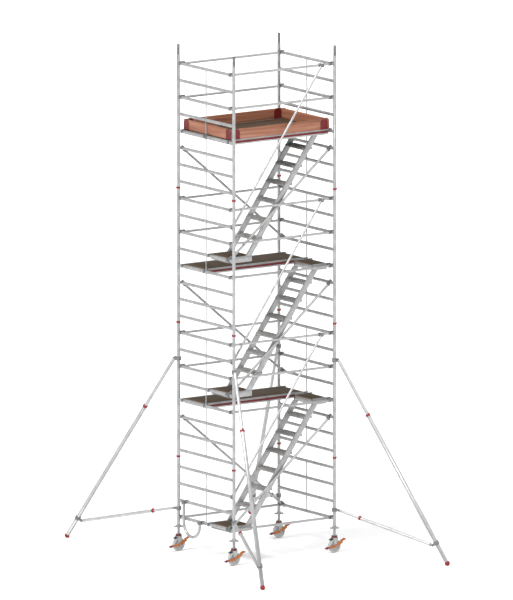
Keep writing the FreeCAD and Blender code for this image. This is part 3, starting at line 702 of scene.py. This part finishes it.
def deck_panels():
    """Plywood sheets, held down by rivets along their long edges."""
    panels = solids_of("deck_panels")
    places = []
    for panel in panels:
        low, high = extent(panel)
        count = max(2, round((high.x - low.x) / FIXING_SPACING))
        for i in range(count):
            x = low.x + (high.x - low.x) * (i + 0.5) / count
            places += [at(Vector((x, y, high.z))) for y in (low.y + FIXING_INSET,
                                                            high.y - FIXING_INSET)]
    heads = scatter(RIVET, places, "deck_rivets")
    finished([heads], "deck_rivets", "tower", ZINC, "plated_steel")
    bevel(joined(panels, "deck_sheets"), 1 * MM)
    finished(panels[:1], "deck_sheets", "tower", PLYWOOD, "deck_plywood", ["deck_panels"])


def hatch():
    """Lid with hinge leaves, screws and a lifting bow."""
    lid = solids_of("hatch_lid")
    low, high = extent(lid[0])
    knuckle_y = high.y - KNUCKLE_INSET
    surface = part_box("toe_boards")[0].z     # toe boards stand on the same deck
    bevel(lid[0], 1 * MM)
    finished(lid, "hatch_board", "hatch", PLYWOOD, "deck_plywood", ["hatch_lid"])
    leaves, screws = [], []
    for share in HINGE_PLACES:
        x = low.x + (high.x - low.x) * share
        leaf = slab("leaf", LEAF, 0.8 * MM)
        leaf.data.transform(Matrix.Translation((x, knuckle_y - LEAF_CENTRE, surface + LEAF[2] / 2)))
        leaves.append(leaf)
        screws += [at(Vector((x + dx, knuckle_y - dy, surface + LEAF[2]))) for dx,
                   dy in LEAF_SCREWS]
    screw_heads = scatter(RIVET, screws, "hatch_screws")
    finished(leaves + [screw_heads], "hatch_hinge_leaves", "hatch", ZINC, "plated_steel")
    deselect()
    centre_x = (low.x + high.x) / 2
    bpy.ops.mesh.primitive_torus_add(major_radius=RING_RADIUS, minor_radius=RING_WIRE,
                                     major_segments=36, minor_segments=10,
                                     location=(centre_x, low.y + RING_INSET,
                                               surface + RING_WIRE + 0.5 * MM))
    ring = settle(bpy.context.object)
    keeper = slab("keeper", KEEPER, 2 * MM)
    keeper.data.transform(Matrix.Translation((centre_x, low.y + RING_INSET + RING_RADIUS,
                                              surface + KEEPER[2] / 2)))
    finished([ring, keeper], "hatch_lifting_ring", "hatch", ZINC, "plated_steel")


# ---------------------------------------------------------------- stairs

CHANNEL_MARGIN, CHANNEL_DEPTH = 13 * MM, 3 * MM
TREAD_RIBS = 17
TREAD_RIB_HEIGHT = 2.5 * MM


def stringers():
    """Plates with a sunk channel along each face."""
    parts = solids_of("stair_stringers")
    for part in parts:
        edit(part)
        select_faces(part, lambda c, n: abs(n.y) > 0.9)
        bpy.ops.mesh.inset(thickness=CHANNEL_MARGIN, depth=-CHANNEL_DEPTH)
        done()
    bevel(joined(parts, "stringers"), 2 * MM)
    finished(parts[:1], "stringers", "tower", ALUMINIUM["z"], "aluminium_section",
             ["stair_stringers"])


def ribbed_tread(dims):
    """Tread with anti-slip ribs across its top; its box is centred on the origin."""
    deselect()
    columns = 2 * TREAD_RIBS + 1
    bpy.ops.mesh.primitive_grid_add(x_subdivisions=columns, y_subdivisions=1, size=1)
    piece = bpy.context.object
    piece.scale = (dims.x, dims.y, 1)
    piece.location = (0, 0, -dims.z / 2)
    settle(piece)
    edit(piece)
    bpy.ops.mesh.select_all(action="SELECT")
    lift = dims.z - TREAD_RIB_HEIGHT
    bpy.ops.mesh.extrude_region_move(TRANSFORM_OT_translate={"value": (0, 0, lift)})
    bpy.ops.mesh.select_all(action="SELECT")
    bpy.ops.mesh.normals_make_consistent(inside=False)
    top = dims.z / 2 - TREAD_RIB_HEIGHT
    column = dims.x / columns

    def is_rib(centre, normal):
        on_top = normal.z > 0.9 and centre.z > top - MM
        return on_top and int((centre.x + dims.x / 2) / column) % 2 == 1

    select_faces(piece, is_rib)
    bpy.ops.mesh.extrude_region_move(TRANSFORM_OT_translate={"value": (0, 0, TREAD_RIB_HEIGHT)})
    done()
    return bevel(piece, 0.5 * MM, 1, 60)


def treads():
    parts = solids_of("stair_treads")
    template = ribbed_tread(size(parts[0]))
    places = [Matrix.Translation(middle(part)) for part in parts]
    discard(parts)
    finished([scatter(template, places, "treads")], "ribbed_treads", "tower", TREAD,
             "tread_aluminium",
             ["stair_treads"])
    discard([template])


def landings():
    parts = solids_of("stair_landings")
    bevel(joined(parts, "landing_beams"), 2 * MM)
    finished(parts[:1], "landing_beams", "tower", ALUMINIUM["x"], "aluminium_section",
             ["stair_landings"])


# ---------------------------------------------------------------- toe boards

BOARD_THICKNESS = 25 * MM
PANEL_MARGIN, PANEL_DEPTH = 16 * MM, 2.5 * MM    # pressed panel of a bracket
BRACKET_RIVET_SPREAD = 56 * MM # lower pair, either side of the middle
BRACKET_RIVET_DROP = 30 * MM   # lower pair, below the middle
BRACKET_RIVET_TOP = 70 * MM    # single rivet, above the middle


def toe_boards():
    """Four planed boards, the end ones covering the long ones' ends."""
    low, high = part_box("toe_boards")
    centre, dims, thick = (low + high) / 2, high - low, BOARD_THICKNESS
    for axis, name, board_dims in (("x", "toe_boards_long", (dims.x - 2 * thick, thick, dims.z)),
                                   ("y", "toe_boards_end", (thick, dims.y, dims.z))):
        across = Vector((0, dims.y - thick, 0) if axis == "x" else (dims.x - thick, 0, 0)) / 2
        boards = []
        for side in (-1, 1):
            board = slab("board", board_dims, 3 * MM)
            board.data.transform(Matrix.Translation(centre + side * across))
            boards.append(board)
        finished(boards, name, "tower", WOOD[axis], "toe_board_wood", ["toe_boards"])


def toe_brackets():
    """Arched brackets with a pressed panel and three rivets each."""
    parts = solids_of("toe_board_brackets")
    rivets = []
    for part in parts:
        dims, centre = size(part), middle(part)
        normal_axis = 0 if dims.x < dims.y else 1
        out = Vector((0, 0, 0))
        out[normal_axis] = 1 if centre[normal_axis] > 0 else -1
        if normal_axis == 1 and centre.y > 0:
            out.y = -1
        edit(part)
        select_faces(part, lambda c, n, out=out: n.dot(out) > 0.9)
        bpy.ops.mesh.inset(thickness=PANEL_MARGIN, depth=-PANEL_DEPTH)
        done()
        face = centre + out * (dims[normal_axis] / 2)
        axis = ("-" if out[normal_axis] < 0 else "") + "XY"[normal_axis]
        across = Vector((0, 1, 0)) if normal_axis == 0 else Vector((1, 0, 0))
        drop = Vector((0, 0, -BRACKET_RIVET_DROP))
        spots = [drop + side * BRACKET_RIVET_SPREAD * across for side in (1, -1)]
        spots.append(Vector((0, 0, BRACKET_RIVET_TOP)))
        rivets += [at(face + spot, axis) for spot in spots]
    heads = scatter(RIVET, rivets, "bracket_rivets")
    bevel(joined(parts, "toe_brackets"), 1 * MM)
    finished([parts[0]], "toe_brackets", "tower", BRACKET_RED, "red_bracket",
             ["toe_board_brackets"])
    finished([heads], "toe_bracket_rivets", "tower", ZINC, "plated_steel")


# ---------------------------------------------------------------- castors

THREAD_PITCH = 8 * MM
THREAD_DEPTH = 1.6 * MM
WHEEL_RIBS = 8
WEB_SINK, HUB_RADIUS, RIM_DEPTH = 11 * MM, 30 * MM, 26 * MM
RACE_HEIGHT = 28 * MM
PIN_RADIUS, PIN_LENGTH = 10 * MM, 47.1 * MM      # kingpin, up to the flange
PIN_HEAD_RADIUS, PIN_HEAD_HEIGHT = 17 * MM, 8.5 * MM
FLANGE_THICKNESS = 8 * MM
STEM_RADIUS = 19 * MM
AXLE_HEAD_RADIUS, AXLE_HEAD_HEIGHT, AXLE_HEAD_SINK = 15 * MM, 7 * MM, 6 * MM
BRAKE_ARMS = ((112 * MM, 62 * MM, 46 * MM), (-112 * MM, -14 * MM, 34 * MM))   # run, rise, width
ARM_THICKNESS = 4.4 * MM
# each pad's centre ahead of and above the axle, its slope and its length
BRAKE_PADS = {"upper": (145 * MM, 77 * MM, math.atan2(30, 66), 70 * MM),
              "lower": (-138 * MM, -24 * MM, math.atan2(20, 52), 56 * MM)}
PAD_WIDER = 2 * MM             # than the rocker
PAD_FINISH = {"upper": (PEDAL, "orange_pedal"), "lower": (BRACKET_RED, "red_bracket")}


def castor_wheel(radius, half):
    """Moulded wheel with a dished web, radial ribs and a crowned tread, its axle along Y."""
    web, hub, rim = half - WEB_SINK, HUB_RADIUS, radius - RIM_DEPTH
    side = [(0, half + 3 * MM), (15 * MM, half + 3 * MM), (17 * MM, half), (hub - 3 * MM, half),
            (hub, half - 3 * MM),
            (hub + 3 * MM, web), (rim - 4 * MM, web), (rim, half - 2 * MM), (rim + 4 * MM, half),
            (radius - 9 * MM, half), (radius - 3 * MM, half - 3 * MM), (radius - 0.3 * MM,
                                                                        half - 9 * MM)]
    outline = side + [(radius, 0)] + [(r, -z) for r, z in reversed(side)]
    wheel = turned_profile(outline, 72, "wheel")
    ribs = []
    for i in range(WHEEL_RIBS):
        for face in (-1, 1):
            rib = slab("rib", (rim - hub + 6 * MM, 5 * MM, 10 * MM), 1.2 * MM)
            rib.data.transform(Matrix.Translation(((rim + hub) / 2, 0, face * (web + 2 * MM))))
            rib.data.transform(Matrix.Rotation(2 * math.pi * i / WHEEL_RIBS, 4, "Z"))
            ribs.append(rib)
    piece = joined([wheel] + ribs, "wheel_template")
    piece.data.transform(Matrix.Rotation(math.pi / 2, 4, "X"))
    return piece


def jack_screw(low, high, flange_radius, stem_radius):
    """Kingpin head, flange and threaded stem, as one turned piece about Z."""
    flange = low + PIN_LENGTH
    stem = flange + FLANGE_THICKNESS
    outline = [(0, low), (PIN_HEAD_RADIUS, low), (PIN_HEAD_RADIUS, low + PIN_HEAD_HEIGHT),
               (PIN_RADIUS, low + PIN_HEAD_HEIGHT), (PIN_RADIUS, flange),
               (flange_radius - MM, flange), (flange_radius, flange + MM), (flange_radius,
                                                                            stem - 2 * MM),
               (flange_radius - 2 * MM, stem), (stem_radius - THREAD_DEPTH, stem)]
    turns = int((high - stem) / THREAD_PITCH) - 1
    for i in range(turns):
        z = stem + 4 * MM + i * THREAD_PITCH
        outline += [(stem_radius - THREAD_DEPTH, z), (stem_radius, z + 1.6 * MM),
                    (stem_radius, z + 4 * MM),
                    (stem_radius - THREAD_DEPTH, z + 5.6 * MM)]
    outline += [(stem_radius - THREAD_DEPTH, high), (0, high)]
    return turned_profile(outline, 40, "jack_template")


def pad_sleeve(name, length, width):
    """Ribbed foot pad, about the origin."""
    pad = slab(name, (length, width, 12.5 * MM), 3 * MM)
    ribs = []
    for i in range(5):
        rib = slab("pad_rib", (4 * MM, width - 12 * MM, 3 * MM), 1 * MM)
        rib.data.transform(Matrix.Translation(((i - 2) * length / 6, 0, 6.6 * MM)))
        ribs.append(rib)
    return joined([pad] + ribs, name)


def swivel_race():
    """Grooved bearing ring round the kingpin, standing on Z = 0."""
    inner, outer, lip = PIN_RADIUS + 0.6 * MM, 45 * MM, 3 * MM
    outline = [(inner, 0), (outer - lip, 0), (outer, lip), (outer, 12 * MM), (outer - lip, 13 * MM),
               (outer - lip, 15 * MM), (outer, 16 * MM), (outer, RACE_HEIGHT - lip),
               (outer - lip, RACE_HEIGHT), (inner, RACE_HEIGHT), (inner, 0)]
    return turned_profile(outline, 48, "race_template")


def castor_fork(corner, node, centre, race, bolt):
    """Fork pressing, bearing ring, axle bolt and swivel lock lever of one castor."""
    body = "fork_" + corner
    fork = {"pressing": [], "axle": [], "lever": []}
    for part in solids_of(node):
        dims = size(part)
        fork["pressing" if dims.z > 0.12 else "axle" if dims.y > 0.08 else "lever"].append(part)
    pressing = fork["pressing"][0]
    crown_top = extent(pressing)[1].z - RACE_HEIGHT
    edit(pressing)
    select_faces(pressing, lambda c,
                 n: c.z > crown_top + MM or (c.z > crown_top - MM and n.z < -0.5))
    bpy.ops.mesh.delete(type="FACE")
    done()
    bevel(pressing, 2 * MM, 3)
    finished([pressing], "fork_pressing_" + corner, body, GALVANISED, "galvanised_steel", [node])
    finished([copied(race, Matrix.Translation((centre.x, centre.y, crown_top)))],
             "swivel_race_" + corner,
             body, MAROON, "red_clip", [node])
    axle_low, axle_high = extent(fork["axle"][0])
    heads = [copied(bolt, at(Vector((centre.x, y, centre.z)), axis))
             for y, axis in ((axle_low.y, "-Y"), (axle_high.y - AXLE_HEAD_SINK, "Y"))]
    finished(fork["axle"] + heads, "axle_bolt_" + corner, body, ZINC, "plated_steel", [node])
    bevel(fork["lever"][0], 3 * MM, 3)
    finished(fork["lever"], "swivel_lock_lever_" + corner, body, LEVER, "grey_casting", [node])


def castor_brake(corner, node, centre, pads):
    """Brake rocker with a plate along each arm, and its two foot pads."""
    body = "brake_" + corner
    rocker = solids_of(node)
    low, high = extent(rocker[0])
    bevel(rocker[0], 1.2 * MM)
    for run, rise, width in BRAKE_ARMS:
        web = slab("web", (math.hypot(run, rise), ARM_THICKNESS, width), 1.2 * MM)
        web.data.transform(Matrix.Rotation(-math.atan2(rise, run), 4, "Y"))
        web.data.transform(Matrix.Translation((centre.x + run / 2, low.y + 1.9 * MM,
                                               centre.z + rise / 2)))
        rocker.append(web)
    finished(rocker, "brake_rocker_" + corner, body, PEDAL, "orange_pedal", [node])
    for which, (ahead, above, slope, _) in BRAKE_PADS.items():
        place = Matrix.Translation((centre.x + ahead, (low.y + high.y) / 2, centre.z + above))
        pad = copied(pads[which], place @ Matrix.Rotation(-slope, 4, "Y"))
        finished([pad], "brake_pad_" + which + "_" + corner, body, *PAD_FINISH[which], [node])


def castor(corner, wheel, screw, race, bolt, pads):
    """One castor's five bodies, with templates made about an upright axis at the origin."""
    low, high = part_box("castor_wheel_" + corner)
    centre = (low + high) / 2
    leg = Matrix.Translation((centre.x, centre.y, 0))
    nodes = {part: "castor_" + part + "_" + corner
             for part in ("wheel", "jack", "nut", "fork", "brake")}
    finished([copied(wheel, Matrix.Translation(centre))], "wheel_moulded_" + corner,
             "wheel_" + corner, WHEEL,
             "castor_wheel", [nodes["wheel"]])
    finished([copied(screw, leg)], "jack_screw_" + corner, "jack_" + corner, ZINC, "plated_steel",
             [nodes["jack"]], 50)
    nut = solids_of(nodes["nut"])
    bevel(nut[0], 2.5 * MM, 3)
    finished(nut, "wing_nut_" + corner, "nut_" + corner, ZINC, "plated_steel", [nodes["nut"]])
    castor_fork(corner, nodes["fork"], centre, race, bolt)
    castor_brake(corner, nodes["brake"], centre, pads)


def castors():
    low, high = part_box("castor_wheel_left_back")
    wheel = castor_wheel((high.z - low.z) / 2, (high.y - low.y) / 2)
    low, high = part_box("castor_jack_left_back")
    screw = jack_screw(low.z, high.z, (high.x - low.x) / 2, STEM_RADIUS)
    race, bolt = swivel_race(), hexagon_head(AXLE_HEAD_RADIUS, AXLE_HEAD_HEIGHT, "axle_head")
    low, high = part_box("castor_brake_left_back")
    pads = {which: pad_sleeve(which + "_pad", pad[3], high.y - low.y + PAD_WIDER)
            for which, pad in BRAKE_PADS.items()}
    for corner in CORNERS:
        castor(corner, wheel, screw, race, bolt, pads)
    discard([wheel, screw, race, bolt] + list(pads.values()))


# ---------------------------------------------------------------- stabilisers

FOOT_RADIUS, FOOT_CENTRE = 38 * MM, 34 * MM      # ball, and its centre above the floor
FOOT_STEPS = 26
FOOT_GROOVES = (6, 7, 11, 12, 16, 17)            # steps from the floor up that are sunk
GROOVE_SCALE = 0.95
UPPER_COUPLER_REACH = 110 * MM                   # below the top of the brace's inner tube
WING_BOLT_OFFSET = (30 * MM, 0, 2 * MM)          # from the leg's axis, inward, and up


def rubber_foot(radius, centre):
    """Ball foot with a flat tread and grooves moulded round it."""
    floor_angle = math.asin(-centre / radius)
    outline = [(0, -centre)]
    for i in range(FOOT_STEPS + 1):
        angle = floor_angle + (math.pi / 2 - floor_angle) * i / FOOT_STEPS
        groove = GROOVE_SCALE if i in FOOT_GROOVES else 1.0
        outline.append((max(0, radius * groove * math.cos(angle)),
                        radius * groove * math.sin(angle)))
    outline[-1] = (0, outline[-1][1])
    return turned_profile(outline, 48, "foot_template")


def wing_bolt():
    """Bolt along Z with a nut and two wings, standing on Z = 0."""
    nut = hexagon_head(11 * MM, 10 * MM, "wing_hub")
    wings = []
    for side in (-1, 1):
        wing = slab("wing", (26 * MM, 6 * MM, 15 * MM), 2.5 * MM)
        wing.data.transform(Matrix.Rotation(side * -math.radians(28), 4, "Y"))
        wing.data.transform(Matrix.Translation((side * 19 * MM, 0, 12 * MM)))
        wings.append(wing)
    deselect()
    bpy.ops.mesh.primitive_cylinder_add(vertices=20, radius=5 * MM, depth=24 * MM,
                                        location=(0, 0, 12 * MM))
    stud = bevel(settle(bpy.context.object), 1 * MM)
    return joined([nut, stud] + wings, "wing_bolt")


def red_collar(part, name, body, slot_node):
    """Locking clip on a tube's mouth, with a pull tab on its upper side."""
    low, high = extent(part)
    centre = (low + high) / 2
    tab = slab("tab", (20 * MM, 20 * MM, 16 * MM), 3 * MM)
    tab.data.transform(Matrix.Translation((centre.x, centre.y, high.z - 1 * MM)))
    bevel(part, 2.5 * MM, 3)
    finished([part, tab], name, body, CLIP_RED, "red_clip", [slot_node])


def stabiliser_mount(corner, node, wings):
    """The two leg couplers, their wing bolts and the brace's inner tube."""
    body = "stabiliser_" + corner
    mount = sorted(solids_of(node), key=lambda p: size(p).z)
    if len(mount) == 2:                          # the upper coupler touches the tube
        top = extent(mount[1])[1].z
        mount.insert(1, split_off(mount[1], lambda c, n: c.z > top - UPPER_COUPLER_REACH))
    couplers, tube = mount[:2], mount[2]
    wheel_low, wheel_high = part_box("castor_wheel_" + corner)
    leg = (wheel_low + wheel_high) / 2
    inward = -1 if leg.x > 0 else 1
    out, _, up = WING_BOLT_OFFSET
    places = [at(Vector((leg.x + inward * out, leg.y, middle(c).z + up)),
                 "X" if inward > 0 else "-X")
              for c in couplers]
    bevel(joined(couplers, "leg_couplers_" + corner), 2 * MM)
    finished(couplers[:1], "leg_couplers_" + corner, body, CASTING, "grey_casting", [node])
    bolts = scatter(wings, places, "coupler_wing_bolts_" + corner)
    finished([bolts], "coupler_wing_bolts_" + corner, body, ZINC, "plated_steel", [node])
    # lighter aluminium copy on the brace's inner tube, a painted highlight
    finished([tube], "brace_inner_tube_" + corner, body, SUNLIT_ALUMINIUM["z"], "aluminium_tube", [node])


def stabiliser_leg(corner, node, foot):
    """Rubber foot, outer tube, strut coupler and locking clip of the brace's sliding part."""
    body = "stabiliser_leg_" + corner
    ball, *rest = sorted(solids_of(node), key=lambda p: extent(p)[0].z)
    spot = middle(ball)
    discard([ball])
    ball = copied(foot, Matrix.Translation((spot.x, spot.y, FOOT_CENTRE)))
    finished([ball], "rubber_foot_" + corner, body, RUBBER_RED, "red_clip", [node], 50)
    outer = max(rest, key=lambda p: size(p).z)
    rest.remove(outer)
    coupler, clip = sorted(rest, key=lambda p: middle(p).z)
    # lighter aluminium copy on the brace's outer tube, a painted highlight
    finished([outer], "brace_outer_tube_" + corner, body, SUNLIT_ALUMINIUM["z"], "aluminium_tube", [node])
    finished([bevel(coupler, 2 * MM)], "strut_coupler_" + corner, body, CASTING, "grey_casting",
             [node])
    red_collar(clip, "brace_clip_" + corner, body, node)


def stabiliser_strut(corner, inner, outer):
    """Inner tube, whose CAD shape stays, and outer tube with its locking clip."""
    body = "strut_outer_" + corner
    # lighter aluminium copy on both strut tubes, a painted highlight
    paint(inner, SUNLIT_ALUMINIUM["y"])
    tube, clip = sorted(solids_of(outer), key=lambda p: -size(p).length)
    finished([tube], "strut_outer_tube_" + corner, body, SUNLIT_ALUMINIUM["y"], "aluminium_tube", [outer])
    red_collar(clip, "strut_clip_" + corner, body, outer)


def stabiliser(corner, foot, wings):
    """One stabiliser's mount, brace, foot and strut."""
    nodes = {part: "stabiliser_" + part + "_" + corner
             for part in ("mount", "leg", "strut_inner", "strut_outer")}
    stabiliser_mount(corner, nodes["mount"], wings)
    stabiliser_leg(corner, nodes["leg"], foot)
    stabiliser_strut(corner, nodes["strut_inner"], nodes["strut_outer"])


def stabilisers():
    foot, wings = rubber_foot(FOOT_RADIUS, FOOT_CENTRE), wing_bolt()
    for corner in CORNERS:
        stabiliser(corner, foot, wings)
    discard([foot, wings])


# ---------------------------------------------------------------- room and light

FLOOR_SIZE = 400
FLOOR_DROP = 2 * MM            # clear of the wheels
SKY = ((0.0, "#8A8A8A"), (0.5, "#8F9092"), (0.72, "#DCDDDE"), (1.0, "#FFFFFF"))


def make_room():
    deselect()
    bpy.ops.mesh.primitive_plane_add(size=FLOOR_SIZE, location=(0, 0, -FLOOR_DROP))
    floor = bpy.context.object
    floor.name = "floor"
    material, tree, shader = new_material("pale_floor", "#FFFFFF", 0.9)
    shader.inputs["Specular IOR Level"].default_value = 0.0
    floor.data.materials.append(material)
    world = bpy.data.worlds.new("studio")
    bpy.context.scene.world = world
    world.use_nodes = True
    tree = world.node_tree
    height = add(tree, "ShaderNodeSeparateXYZ",
                 Vector=add(tree, "ShaderNodeTexCoord").outputs["Generated"])
    share = add(tree, "ShaderNodeMapRange", (("From Min", -1.0), ("From Max", 1.0)),
                Value=height.outputs["Z"]).outputs[0]
    sky = ramp(tree, share, SKY)
    tree.links.new(sky, tree.nodes["Background"].inputs["Color"])
    tree.nodes["Background"].inputs["Strength"].default_value = 1.0
    for sun in SUNS:
        make_sun(*sun)
    bpy.context.scene.view_settings.view_transform = "Standard"


end_frames()
joint_clips()
rails()
claws("rail_claws", "rail_claws_cast")
claws("deck_hooks", "deck_hooks_cast")
access_step()
deck_beams()
deck_panels()
hatch()
stringers()
treads()
landings()
toe_boards()
toe_brackets()
castors()
stabilisers()
discard([RIVET])
make_room()
